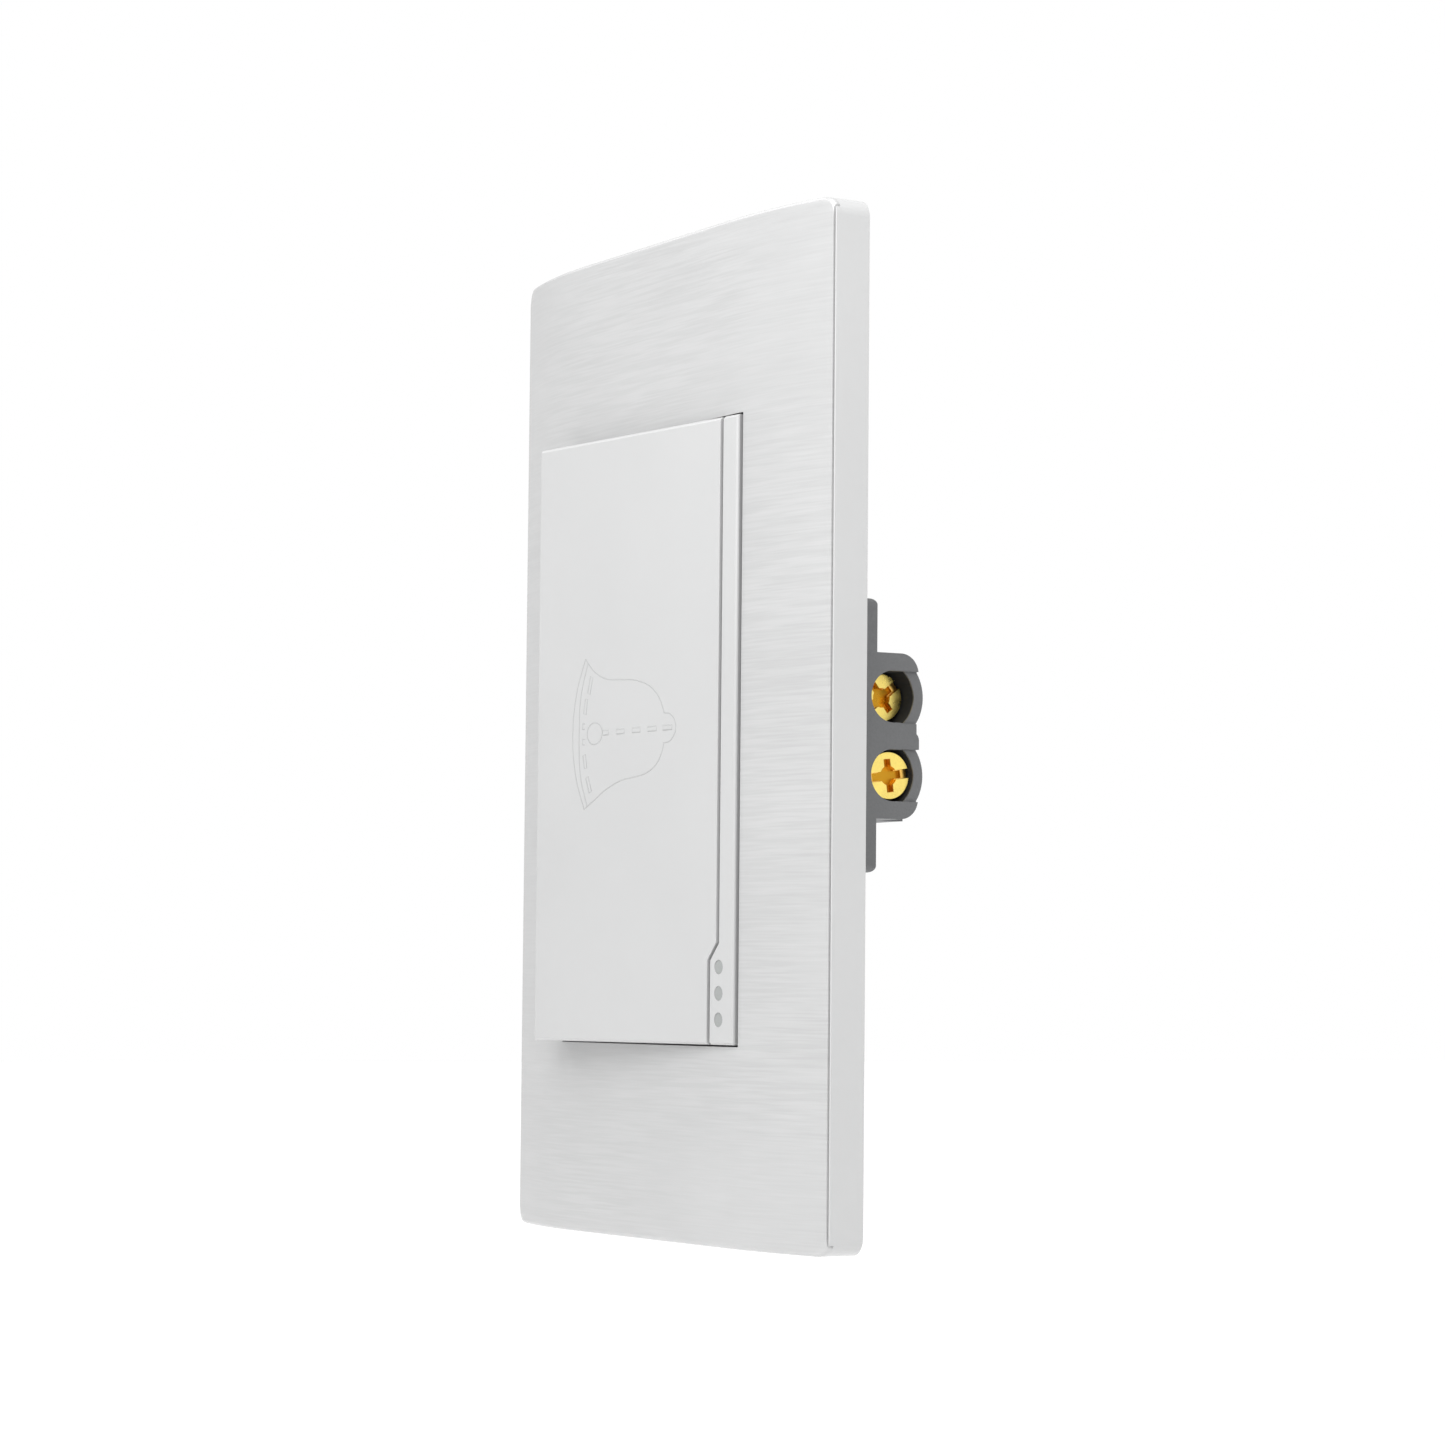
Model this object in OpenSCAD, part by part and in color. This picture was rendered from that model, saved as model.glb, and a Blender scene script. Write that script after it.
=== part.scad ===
// Doorbell push switch for a 118 mm wall box: a slim crowned cover plate, one large
// rocking key, and a push-contact module with two screw terminals behind it.
// X runs across the plate towards the terminal side, Z runs up its long side, and
// -Y is the front. The wall is the plane Y = 0 and the origin is midway between the
// two box screws.

/* [Cover plate] */
// Width of the plate across X
plate_w = 74; // [72:0.5:80]
// Height of the plate along Z
plate_h = 118; // [116:0.5:122]
// Radius of the plate's four corners
corner_r = 2.2; // [2:0.1:5]
// Height of the side band from the wall to the front edge
band_t = 4.5; // [4:0.1:5.5]
// How far the middle of the face stands above its long edges
crown = 2.6; // [2:0.1:3]
// Half width of the flat middle of the face
flat_half = 18; // [14:1:20]
// Thickness of the brushed front skin
skin_t = 0.8; // [0.6:0.1:1]
// Width of the opening for the key
opening_w = 42.5; // [42.5:0.1:43.5]
// Height of the opening for the key
opening_h = 72.4; // [72.4:0.1:74]

/* [Key] */
// Width of the key along X
key_w = 41.3; // [41:0.1:41.3]
// Height of the key along Z
key_h = 72; // [71:0.1:72.2]
// How far the fully level key stands above the face
key_proud = 0.75; // [0.5:0.05:0.9]
// Tilt of the released key about its hinge, in degrees
key_tilt = 5.6; // [5:0.1:5.8]
// Width of the groove between the key and the indicator strip
groove_w = 0.65; // [0.4:0.05:0.8]
// Radius of the three glow dots
dot_r = 0.8; // [0.6:0.05:1]

/* [Mounting] */
// Distance between the two box screws
box_pitch = 83.5; // [80:0.5:86]
// Radius of the two box screw holes
box_hole_r = 2.25; // [2:0.05:2.6]

/* [Module] */
// Height of the module base along Z
base_h = 32; // [31:0.1:33]
// Width of the module base along X
base_w = 40; // [39.6:0.1:40.2]
// Depth of the module base behind the wall plane
base_d = 12.1; // [11.5:0.1:13]
// Wall thickness of the module base
base_wall = 1.4; // [1.2:0.1:1.6]
// Rounding of the base's rear edges
base_edge_r = 0.8; // [0.5:0.1:1]
// Depth of the terminal block behind the wall plane
block_d = 18.8; // [18.5:0.1:19.5]
// Distance between the two terminal screws
terminal_pitch = 9.2; // [8.8:0.1:9.4]
// Radius of a terminal screw window
window_r = 3.05; // [2.9:0.025:3.1]
// Radius of a wire entry hole
wire_r = 1.7; // [1.5:0.1:1.8]

/* [Hidden] */
$fn = 64;
tiny = 0.01;
spare = 1;
fit = 0.05;

// Face of the plate
face_y = -(band_t + crown);
side_run = plate_w / 2 - flat_half;
crown_r = (side_run * side_run + crown * crown) / (2 * crown);

// Cover shell
web_t = 1.6;
rim_t = 1.6;
well_t = 1.2;
lip_w = 0.2;
seam_w = 0.15;
lip_drop = 0.15;
panel_inset = lip_w + seam_w;

// Mounting frame and straps
frame_t = 1.6;
frame_y = -frame_t;
frame_margin = 2.5;
strap_t = 1;
strap_w = 26;
strap_low = 38;
strap_high = 50;
stake_x = 9;
stake_z = 46.5;
stake_r = 1;
seat_x = 9;
seat_w = 8;
seat_reach = 1.5;
lug_y = -0.75;
clip_x = 29.5;
clip_z = 44;
clip_t = 1.4;
clip_h = 7;

// Key, in its level position before it is tilted
pivot_x = 17.5;
pivot_y = -4.3;
key_left = -20.7;
key_right = key_left + key_w;
key_top_y = face_y - key_proud;
key_plate_t = 1.8;
key_under_y = key_top_y + key_plate_t;
skirt_t = 1.2;
skirt_y = -2.25;
short_skirt_y = pivot_y - 0.05;
strip_t = 0.9;
strip_x = 17.8;
strip_low_x = 16.1;
jog_high = -24.4;
jog_low = -26.4;
dot_x = 17.75;
dot_mid = -30.15;
dot_step = 3;
insert_t = 0.3;

// Hinge
pin_r = 0.8;
ear_r = 1.4;
ear_t = 2;
lug_t = 2.6;
hinge_z = 27.5;
hinge_gap = 0.2;

// Key carrier
carrier_t = 1.6;
carrier_y = frame_y - carrier_t;
carrier_left = -18.6;
carrier_right = 18.9;
carrier_h = 66.8;

// Plunger
plunger_x = -8;
plunger_r = 2;
plunger_top = -6;
plunger_foot = 3.7;
sleeve_y = 0.5;
sleeve_r = 3.4;

// Return springs
spring_x = -12;
spring_z = 7;
spring_r = 2.25;
spring_wire_r = 0.25;
spring_turns = 6;
cup_r = 3.8;
cup_bore = 3;
cup_floor = 1.6;
cup_end = 2.6;
spring_low = cup_floor - 0.05;
spring_high = -8.6;

// Base and terminals
chamber_y = base_d - base_wall;
post_x = 16.2;
post_z = 12;
post_r = 2.2;
base_screw_r = 1.05;
screw_head_r = 1.9;
screw_head_t = 1.3;
term_z = terminal_pitch / 2;
term_y = 14.4;
barrel_y = 13.4;
barrel_r = 5.3;
barrel_half = 3.15;
barrel_face_x = 19.6;
window_reach = 4;
window_half = window_r - 0.025;
block_half = term_z + 5.1;
block_left = 6.4;
barrel_left = 15.2;
cap_r = 2.4;
cap_y = 15.45;
divider_y = 17.6;
divider_half = 1.5;
hood_y = 17.95;
hood_r = 1.05;
cavity_left = 7.6;
cavity_half = 3.5;
cavity_end = 17.5;
cage_left = 7.8;
cage_right = 15;
cage_wall = 0.9;
cage_nut_t = 1.6;
cage_floor_t = 1.2;
cage_half_z = 3.3;
cage_half_y = 2.9;
wire_x = 11;
clamp_screw_r = 1.7;
head_r = 2.75;
head_t = 1.6;
slot_w = 1.1;
slot_depth = 0.55;
recess_l = 3.9;
recess_w = 0.9;
recess_r = 1.15;
recess_depth = 1.1;
shank_l = 4.2;
plate_t = 1;
plate_half = 2.25;
lower_face_x = 19;
upper_face_x = 17.3;

// Contacts
strip_metal = 0.8;
cage_inner = cage_left + cage_floor_t;
blade_t = 0.4;
blade_leg_y = 4.2;
blade_y = blade_leg_y - blade_t;
blade_root = 6.5;
rivet_x = blade_root + 1.4;
rivet_r = 0.6;
rivet_head_r = 0.9;
rivet_head_t = 0.5;
contact_x = -13;
contact_r = 1.5;
fixed_y = 9.9;
moving_contact_t = 1.25;
fixed_contact_t = 1.2;
strip_half = 2.2;

// ---- Helpers ----

// Extrudes a flat shape, drawn in X and Z, from y0 to y1
module slab(y0, y1) {
    translate([0, y1, 0]) rotate([90, 0, 0]) linear_extrude(y1 - y0) children();
}

// Rectangle in X and Z with its low and high sides given
module rect(x0, x1, z0, z1) {
    translate([x0, z0]) square([x1 - x0, z1 - z0]);
}

module rounded_rect(w, h, r) {
    union() {
        square([w - 2 * r, h], center = true);
        square([w, h - 2 * r], center = true);
        for (x = [-1, 1], z = [-1, 1])
            translate([x * (w / 2 - r), z * (h / 2 - r)]) circle(r);
    }
}

// Box with its low and high corners given
module block(x0, x1, y0, y1, z0, z1) {
    translate([x0, y0, z0]) cube([x1 - x0, y1 - y0, z1 - z0]);
}

// Cylinder along Y from y0 to y1
module rod_y(x, z, r, y0, y1) {
    translate([x, y1, z]) rotate([90, 0, 0]) cylinder(r = r, h = y1 - y0);
}

// Cylinder along X from x0 to x1
module rod_x(y, z, r, x0, x1) {
    translate([x0, y, z]) rotate([0, 90, 0]) cylinder(r = r, h = x1 - x0);
}

// Extrudes a flat shape, drawn in Y and Z, from x0 to x1
module along_x(x0, x1) {
    translate([x0, 0, 0]) rotate([90, 0, 90]) linear_extrude(x1 - x0) children();
}

// Everything behind the crowned face once it has been lowered by depth, with some
// length and width to spare beyond the plate's outline
module behind_face(depth) {
    long = plate_h + 2 * spare;
    translate([0, 0, -long / 2]) linear_extrude(long) union() {
        translate([-flat_half, face_y + depth])
            square([2 * flat_half, -face_y - depth]);
        for (side = [0, 1]) mirror([side, 0]) intersection() {
            translate([flat_half, face_y + crown_r]) circle(crown_r - depth, $fn = 360);
            translate([flat_half, face_y]) square([side_run + spare, -face_y]);
        }
    }
}

module opening(y0, y1, grow = 0) {
    slab(y0, y1) square([opening_w + 2 * grow, opening_h + 2 * grow], center = true);
}

// ---- Cover ----

module surround_frame() {
    color("gainsboro") difference() {
        union() {
            difference() {
                intersection() {
                    behind_face(lip_drop);
                    slab(face_y, 0) rounded_rect(plate_w, plate_h, corner_r);
                }
                panel_recess();
                cover_hollow();
            }
            for (x = [-1, 1], z = [-1, 1]) cover_clip(x * clip_x, z * clip_z);
            for (z = [-1, 1]) cover_rib(z);
        }
        opening(face_y - 1, 1);
        pry_slot();
    }
}

// Room that the front skin is laid into, open at its top and bottom ends
module panel_recess() {
    difference() {
        slab(face_y - 1, 0) square([plate_w - 2 * lip_w, plate_h + spare], center = true);
        behind_face(skin_t);
    }
}

module cover_hollow() {
    difference() {
        intersection() {
            behind_face(skin_t + web_t);
            slab(face_y, 1)
                rounded_rect(plate_w - 2 * rim_t, plate_h - 2 * rim_t, corner_r - rim_t / 2);
        }
        opening(face_y, frame_y - 0.15, well_t);
    }
}

module cover_clip(x, z) {
    block(x - clip_t / 2, x + clip_t / 2, -4.6, -0.2, z - clip_h / 2, z + clip_h / 2);
}

// Stiffening rib across the web, above and below the well
module cover_rib(side) {
    block(-17, 17, face_y + skin_t + web_t / 2, -3.3, side * 53 - 0.6, side * 53 + 0.6);
}

// Slot in the lower edge for prising the cover off
module pry_slot() {
    block(-5, 5, -1.2, 1, -plate_h / 2 - 1, -plate_h / 2 + rim_t + 1);
}

// Brushed front skin, which stops at a fine seam along each long side
module front_panel() {
    color("silver") difference() {
        intersection() {
            behind_face(0);
            slab(face_y, 0) rounded_rect(plate_w, plate_h, corner_r);
            slab(face_y, 0) square([plate_w - 2 * panel_inset, plate_h + spare], center = true);
        }
        behind_face(skin_t);
        opening(face_y - 1, 1);
    }
}

// ---- Mounting frame ----

module mounting_frame() {
    color("whitesmoke") difference() {
        union() {
            slab(frame_y, 0)
                rounded_rect(plate_w - 2 * frame_margin, plate_h - 2 * frame_margin, 1.5);
            well_ring();
            for (z = [-1, 1], x = [-1, 1])
                rod_y(x * stake_x, z * stake_z, stake_r, frame_y - strap_t - 0.5, 0);
        }
        slab(-9, 1) square([base_w + 0.4, base_h + 0.4], center = true);
        box_holes(-9, 1);
        for (x = [-1, 1], z = [-1, 1]) clip_slot(x * clip_x, z * clip_z);
        for (x = [-1, 1], z = [-1, 1]) seat_pocket(x * seat_x, z);
        for (z = [-1, 1]) corner_window(z);
    }
}

// Raised ring that locates the cover's well, open at its ends for the straps
module well_ring() {
    difference() {
        opening(-3.2, frame_y + tiny, well_t + 1.5);
        opening(-4, frame_y + 1, well_t + 0.3);
        slab(-4, frame_y + 1) square([strap_w + 1, plate_h], center = true);
    }
}

// Pocket in the back of the frame for one of the base's lugs
module seat_pocket(x, side) {
    slab(lug_y - fit, 1) translate([x, side * base_h / 2])
        square([seat_w + 0.2, 2 * (seat_reach + 0.2)], center = true);
}

module box_holes(y0, y1) {
    for (z = [-1, 1]) rod_y(0, z * box_pitch / 2, box_hole_r, y0, y1);
}

module clip_slot(x, z) {
    block(x - clip_t / 2 - 0.2, x + clip_t / 2 + 0.2, -5, 1,
          z - clip_h / 2 - 0.3, z + clip_h / 2 + 0.3);
}

// Lightening windows between the module and the straps
module corner_window(side) {
    for (x = [-1, 1])
        slab(-5, 1) translate([x * 10.5, side * 26]) rounded_rect(11, 10, 1);
}

module strap(side) {
    color("lightsteelblue") difference() {
        slab(frame_y - strap_t, frame_y) translate([0, side * (strap_low + strap_high) / 2])
            rounded_rect(strap_w, strap_high - strap_low, 1.5);
        box_holes(-9, 1);
        for (x = [-1, 1]) rod_y(x * stake_x, side * stake_z, stake_r + fit, -9, 1);
    }
}

module strap_upper() { strap(1); }
module strap_lower() { strap(-1); }

// ---- Key ----

// Turns a level piece of the key to its released position
module key_pose() {
    translate([pivot_x, pivot_y, 0]) rotate([0, 0, key_tilt])
        translate([-pivot_x, -pivot_y, 0]) children();
}

// Outline of the indicator strip, wider at its lower end
module strip_shape(grow = 0) {
    polygon([
        [strip_x - grow, key_h / 2], [key_right, key_h / 2],
        [key_right, -key_h / 2], [strip_low_x - grow, -key_h / 2],
        [strip_low_x - grow, jog_low], [strip_x - grow, jog_high]
    ]);
}

module rocker_key() {
    color("gainsboro") key_pose() difference() {
        union() {
            key_shell();
            for (x = [-15, 2, 11]) key_rib(x);
            for (side = [-1, 1]) key_lug(side);
            rod_y(plunger_x, 0, 2.5, key_under_y - tiny, key_boss_tip());
            for (side = [-1, 1])
                rod_y(spring_x, side * spring_z, 1.6, key_under_y - tiny, key_under_y + 1.6);
        }
        slab(key_top_y - 1, key_top_y + strip_t) strip_shape(groove_w);
        insert_bar(0.05);
        for (side = [-1, 1]) translate([pivot_x, pivot_y, side * hinge_z])
            cylinder(r = pin_r + fit, h = lug_t + 2, center = true);
    }
}

// Where the key's boss ends, so that its tilted face clears the plunger at rest
function key_boss_tip() =
    plunger_top - 0.3 + (pivot_x - plunger_x) * tan(key_tilt);

module key_shell() {
    inner_left = key_left + skirt_t;
    inner_right = key_right - skirt_t;
    inner_z = key_h / 2 - skirt_t;
    difference() {
        block(key_left, key_right, key_top_y, skirt_y, -key_h / 2, key_h / 2);
        block(inner_left, inner_right, key_under_y, 1, -inner_z, inner_z);
        block(inner_right - 1, key_right + 1, short_skirt_y, 1, -inner_z, inner_z);
    }
}

module key_rib(x) {
    difference() {
        block(x - 0.5, x + 0.5, key_under_y - tiny, key_under_y + 1.2,
              -key_h / 2 + 0.6, key_h / 2 - 0.6);
        for (side = [-1, 1]) rod_y(spring_x, side * spring_z, 3.2, key_under_y, 0);
    }
}

// Lug that turns on the hinge pin, between two ears of the carrier
module key_lug(side) {
    z0 = side * hinge_z - lug_t / 2;
    translate([pivot_x, pivot_y, z0]) cylinder(r = ear_r, h = lug_t);
    block(pivot_x - ear_r, pivot_x + ear_r, key_under_y - tiny, pivot_y, z0, z0 + lug_t);
}

module indicator_strip() {
    color("silver") key_pose() difference() {
        slab(key_top_y, key_top_y + strip_t) strip_shape();
        for (i = [-1, 0, 1])
            rod_y(dot_x, dot_mid + i * dot_step, dot_r + 0.02, key_top_y - 1, 0);
    }
}

module insert_bar(grow) {
    floor_y = key_top_y + strip_t;
    block(dot_x - 1.2 - grow, dot_x + 1.2 + grow, floor_y, floor_y + insert_t + grow,
          dot_mid - dot_step - 1.2 - grow, dot_mid + dot_step + 1.2 + grow);
}

module luminous_insert() {
    color("darkgray") key_pose() union() {
        insert_bar(0);
        for (i = [-1, 0, 1])
            rod_y(dot_x, dot_mid + i * dot_step, dot_r, key_top_y + 0.05,
                  key_top_y + strip_t + tiny);
    }
}

// ---- Carrier, hinge, plunger and springs ----

module key_carrier() {
    color("white") difference() {
        union() {
            block(carrier_left, carrier_right, carrier_y, frame_y,
                  -carrier_h / 2, carrier_h / 2);
            for (side = [-1, 1]) hinge_ears(side);
            rod_y(plunger_x, 0, sleeve_r, carrier_y, sleeve_y);
            for (side = [-1, 1]) rod_y(spring_x, side * spring_z, cup_r, carrier_y, cup_end);
        }
        rod_y(plunger_x, 0, plunger_r + fit, -9, 9);
        for (side = [-1, 1]) {
            rod_y(spring_x, side * spring_z, cup_bore, -9, cup_floor);
            lug_window(side);
            carrier_windows(side);
            for (x = [-1, 1]) rod_y(x * post_x, side * post_z, base_screw_r, -9, 1);
        }
    }
}

module hinge_ears(side) {
    for (step = [-1, 1]) {
        z = side * hinge_z + step * (lug_t + ear_t + 2 * hinge_gap) / 2;
        difference() {
            union() {
                translate([pivot_x, pivot_y, z - ear_t / 2]) cylinder(r = ear_r, h = ear_t);
                block(pivot_x - ear_r, pivot_x + ear_r, pivot_y, frame_y,
                      z - ear_t / 2, z + ear_t / 2);
            }
            translate([pivot_x, pivot_y, z]) cylinder(r = pin_r, h = ear_t + 2, center = true);
        }
    }
}

module lug_window(side) {
    block(pivot_x - 1.9, carrier_right + 1, -9, 1,
          side * hinge_z - lug_t / 2 - hinge_gap, side * hinge_z + lug_t / 2 + hinge_gap);
}

module carrier_windows(side) {
    for (x = [-10.5, 7])
        slab(-9, 1) translate([x, side * 26]) rounded_rect(11, 10, 1);
}

module hinge_pin(side) {
    half = lug_t / 2 + hinge_gap + ear_t;
    color("lightslategray") translate([pivot_x, pivot_y, side * hinge_z])
        cylinder(r = pin_r, h = 2 * half + 0.4, center = true);
}

module hinge_pin_upper() { hinge_pin(1); }
module hinge_pin_lower() { hinge_pin(-1); }

module plunger() {
    shoulder_y = sleeve_y + 0.1;
    color("ivory") union() {
        rod_y(plunger_x, 0, plunger_r, plunger_top, shoulder_y + tiny);
        rod_y(plunger_x, 0, 2.8, shoulder_y, shoulder_y + 1.4);
        rod_y(plunger_x, 0, 1.4, shoulder_y + 1.4 - tiny, plunger_foot);
    }
}

// Coil spring along Y, swept as one tube round its helix
module coil(x, z, low, high) {
    sides = 6;
    steps = 16;
    rings = spring_turns * steps;
    rise = (low - high) - 2 * spring_wire_r;
    points = [for (i = [0 : rings], j = [0 : sides - 1])
        let (turn = 360 * i / steps, around = 360 * j / sides,
             reach = spring_r + spring_wire_r * cos(around))
        [x + reach * cos(turn),
         high + spring_wire_r + rise * i / rings + spring_wire_r * sin(around),
         z + reach * sin(turn)]];
    walls = [for (i = [0 : rings - 1], j = [0 : sides - 1])
        [i * sides + j, i * sides + (j + 1) % sides,
         (i + 1) * sides + (j + 1) % sides, (i + 1) * sides + j]];
    first = [for (j = [0 : sides - 1]) sides - 1 - j];
    last = [for (j = [0 : sides - 1]) rings * sides + j];
    polyhedron(points, concat(walls, [first, last]));
}

module return_spring_upper() { color("slategray") coil(spring_x, spring_z, spring_low, spring_high); }
module return_spring_lower() { color("slategray") coil(spring_x, -spring_z, spring_low, spring_high); }

// ---- Module base ----

module base_housing() {
    color("dimgray") difference() {
        union() {
            base_body();
            for (x = [-1, 1], z = [-1, 1]) seat_lug(x * seat_x, z);
            terminal_block();
        }
        difference() {
            block(-base_w / 2 + base_wall, base_w / 2 - base_wall, frame_y - 1, chamber_y,
                  -base_h / 2 + base_wall, base_h / 2 - base_wall);
            for (x = [-1, 1], z = [-1, 1]) rod_y(x * post_x, z * post_z, post_r, frame_y, base_d);
        }
        for (x = [-1, 1], z = [-1, 1]) screw_hole(x * post_x, z * post_z);
        for (z = [-1, 1]) terminal_cavity(z * term_z);
    }
}

// Body of the base, with its rear edges rounded at the top and the bottom
module base_body() {
    mid_y = (frame_y - spare + base_d) / 2;
    intersection() {
        slab(frame_y, base_d) rounded_rect(base_w, base_h, 0.8);
        along_x(-base_w / 2 - 1, base_w / 2 + 1) translate([mid_y, 0])
            rounded_rect(2 * (base_d - mid_y), base_h, base_edge_r);
    }
}

// Lug that seats the base in a pocket in the back of the mounting frame
module seat_lug(x, side) {
    slab(lug_y, -0.05) translate([x, side * base_h / 2])
        square([seat_w, 2 * seat_reach], center = true);
}

module screw_hole(x, z) {
    rod_y(x, z, base_screw_r + fit, frame_y - 1, base_d + 1);
    rod_y(x, z, screw_head_r + 0.15, base_d - screw_head_t - 0.2, base_d + 1);
}

// Terminal block: a square back half, then a bulging wall behind each screw window,
// set between two rounded caps and a divider with a hood over the lower window
module terminal_block() {
    block(block_left, barrel_left, chamber_y, block_d, -block_half, block_half);
    along_x(block_left, base_w / 2) union() {
        translate([chamber_y, -block_half]) square([cap_y - chamber_y, 2 * block_half]);
        translate([chamber_y, -divider_half])
            square([divider_y - chamber_y, 2 * divider_half]);
        translate([chamber_y, -divider_half]) square([hood_y - chamber_y, hood_r]);
        translate([hood_y - hood_r, hood_r - divider_half]) circle(hood_r);
        for (side = [-1, 1]) translate([cap_y, side * (block_half - cap_r)]) circle(cap_r);
    }
    for (z = [-term_z, term_z]) intersection() {
        rod_x(barrel_y, z, barrel_r, block_left, barrel_face_x);
        block(block_left, barrel_face_x, chamber_y, block_d, z - barrel_half, z + barrel_half);
    }
}

module terminal_cavity(z) {
    block(cavity_left, barrel_left, chamber_y - 1, cavity_end, z - cavity_half, z + cavity_half);
    rod_x(term_y, z, window_r, barrel_left - tiny, base_w / 2 + 1);
    intersection() {
        rod_x(barrel_y, z, window_reach, barrel_left - tiny, base_w / 2 + 1);
        block(barrel_left - 1, base_w / 2 + 2, term_y, block_d, z - window_half, z + window_half);
    }
    block(barrel_face_x, base_w / 2 + 1, term_y, block_d, z - window_half, z + window_half);
    rod_y(wire_x, z, wire_r, cavity_end - tiny, block_d + 1);
}

module base_screws() {
    head_y = base_d - 0.2;
    color("silver") for (x = [-1, 1], z = [-1, 1]) difference() {
        union() {
            rod_y(x * post_x, z * post_z, base_screw_r, carrier_y + 0.4, head_y);
            rod_y(x * post_x, z * post_z, screw_head_r, head_y - screw_head_t, head_y);
        }
        for (turn = [0, 90]) translate([x * post_x, head_y, z * post_z])
            rotate([0, turn + 20, 0]) cube([2.2, 1.4, 0.5], center = true);
    }
}

// ---- Contacts ----

module blade_terminal_strip() {
    z0 = term_z - strip_half;
    z1 = term_z + strip_half;
    color("darkgoldenrod") difference() {
        union() {
            block(cage_inner, cage_inner + strip_metal, blade_leg_y, term_y + cage_half_y, z0, z1);
            block(blade_root, cage_inner + strip_metal, blade_leg_y, blade_leg_y + strip_metal,
                  z0, z1);
        }
        rod_y(rivet_x, term_z, rivet_r + fit, 0, 9);
    }
}

module blade_rivet() {
    back_y = blade_leg_y + strip_metal;
    color("gold") union() {
        rod_y(rivet_x, term_z, rivet_r, blade_y - rivet_head_t, back_y + rivet_head_t);
        rod_y(rivet_x, term_z, rivet_head_r, blade_y - rivet_head_t, blade_y);
        rod_y(rivet_x, term_z, rivet_head_r, back_y, back_y + rivet_head_t);
    }
}

// Leaf spring that carries the moving contact
module contact_blade() {
    color("goldenrod") difference() {
        slab(blade_y, blade_y + blade_t) union() {
            rect(blade_root, cage_inner + strip_metal, term_z - strip_half, term_z + strip_half);
            rect(blade_root - 4.5, blade_root + tiny, -1.9, term_z + strip_half);
            rect(contact_x - 2, blade_root - 4.4, -1.9, 1.9);
        }
        rod_y(rivet_x, term_z, rivet_r + fit, 0, 9);
        rod_y(contact_x, 0, 0.8, 0, 9);
    }
}

module moving_contact() {
    color("white") union() {
        rod_y(contact_x, 0, 0.75, blade_y - 0.4, blade_y + blade_t + 0.3);
        rod_y(contact_x, 0, 1.1, blade_y - 0.4, blade_y);
        rod_y(contact_x, 0, contact_r, blade_leg_y, blade_leg_y + moving_contact_t);
    }
}

module fixed_contact_strip() {
    z0 = -term_z - strip_half;
    z1 = -term_z + strip_half;
    color("darkgoldenrod") difference() {
        union() {
            block(cage_inner, cage_inner + strip_metal, fixed_y, term_y + cage_half_y, z0, z1);
            slab(fixed_y, fixed_y + strip_metal) union() {
                rect(contact_x - 2.5, cage_inner + strip_metal, z0, z1);
                rect(contact_x - 2.5, contact_x + 2.5, z0, 2.3);
            }
        }
        rod_y(contact_x, 0, 0.8, 0, 12);
    }
}

module fixed_contact() {
    color("white") union() {
        rod_y(contact_x, 0, 0.75, fixed_y - 0.3, fixed_y + strip_metal);
        rod_y(contact_x, 0, contact_r, fixed_y - fixed_contact_t, fixed_y);
    }
}

// ---- Terminals ----

module terminal_cage(z) {
    color("gold") difference() {
        block(cage_left, cage_right, term_y - cage_half_y, term_y + cage_half_y,
              z - cage_half_z, z + cage_half_z);
        block(cage_inner, cage_right - cage_nut_t, term_y - 9, term_y + 9,
              z - cage_half_z + cage_wall, z + cage_half_z - cage_wall);
        rod_x(term_y, z, clamp_screw_r + fit, cage_right - cage_nut_t - 1, cage_right + 1);
    }
}

module terminal_cage_upper() { terminal_cage(term_z); }
module terminal_cage_lower() { terminal_cage(-term_z); }

// Clamp screw with a recess for a cross or a flat driver
module terminal_screw(face_x, z, turn) {
    under_x = face_x - head_t;
    color("gold") difference() {
        union() {
            rod_x(term_y, z, head_r, under_x, face_x);
            rod_x(term_y, z, clamp_screw_r, under_x - shank_l, under_x + tiny);
        }
        translate([face_x, term_y, z]) rotate([turn, 0, 0]) {
            for (arm = [0, 90]) rotate([arm, 0, 0])
                cube([2 * recess_depth, recess_l, recess_w], center = true);
            rod_x(0, 0, recess_r, -recess_depth, 1);
            cube([2 * slot_depth, 2 * head_r + 1, slot_w], center = true);
        }
    }
}

module terminal_screw_upper() { terminal_screw(upper_face_x, term_z, 38); }
module terminal_screw_lower() { terminal_screw(lower_face_x, -term_z, 8); }

module clamp_plate(face_x, z) {
    tip_x = face_x - head_t - shank_l;
    color("khaki")
        block(tip_x - plate_t, tip_x, term_y - plate_half, term_y + plate_half,
              z - plate_half, z + plate_half);
}

module clamp_plate_upper() { clamp_plate(upper_face_x, term_z); }
module clamp_plate_lower() { clamp_plate(lower_face_x, -term_z); }

surround_frame();
front_panel();
mounting_frame();
strap_upper();
strap_lower();
rocker_key();
indicator_strip();
luminous_insert();
key_carrier();
hinge_pin_upper();
hinge_pin_lower();
plunger();
return_spring_upper();
return_spring_lower();
base_housing();
base_screws();
blade_terminal_strip();
blade_rivet();
contact_blade();
moving_contact();
fixed_contact_strip();
fixed_contact();
terminal_cage_upper();
terminal_cage_lower();
terminal_screw_upper();
terminal_screw_lower();
clamp_plate_upper();
clamp_plate_lower();
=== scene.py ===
import math

import bmesh
import bpy
from mathutils import Matrix, Vector


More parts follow.
